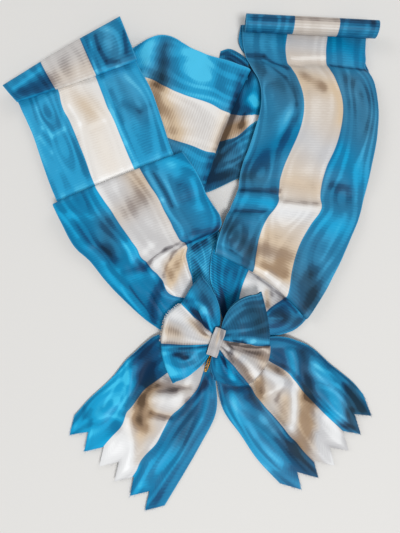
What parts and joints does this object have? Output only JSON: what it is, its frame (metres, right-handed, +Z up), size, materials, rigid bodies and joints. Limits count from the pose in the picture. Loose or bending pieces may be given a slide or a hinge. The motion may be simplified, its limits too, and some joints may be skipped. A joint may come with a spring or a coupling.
{
  "type": "satin order sash folded for display with bow",
  "caption": "Wide moire satin order sash in azure and white stripes, folded flat with a roll at the top of each limb, a bow with a white wrap and gilt hook, and tails cut in points.",
  "frame": {"origin": "On the surface under the sash, at the middle of its bounding box.", "axes": "+Z up from the surface; +Y from the tails to the rolls, the sash's longest extent; +X to the right as the sash is seen from above."},
  "size_m": [0.2813, 0.3725, 0.0225],
  "materials": {
    "azure_ribbon": "moire satin, fine cross ribs",
    "white_ribbon": "satin, fine cross ribs",
    "gilt_metal": "polished gilt"
  },
  "bodies": {
    "root": {"left_hidden_layers": "azure_ribbon", "right_hidden_layers": "azure_ribbon", "under_band": "azure_ribbon", "back_corner": "azure_ribbon", "back_band": "azure_ribbon", "left_upper_panel": "azure_ribbon", "left_top_roll": "azure_ribbon", "left_lower_tuck": "azure_ribbon", "left_lower_panel": "azure_ribbon", "right_lower_panel": "azure_ribbon", "right_upper_panel": "azure_ribbon", "right_top_roll": "azure_ribbon", "left_tail": "azure_ribbon", "right_tail": "azure_ribbon", "bow_left_loop": "azure_ribbon", "bow_right_loop": "azure_ribbon", "bow_wrap": "white_ribbon", "badge_hook": "gilt_metal"}
  },
  "joints": []
}
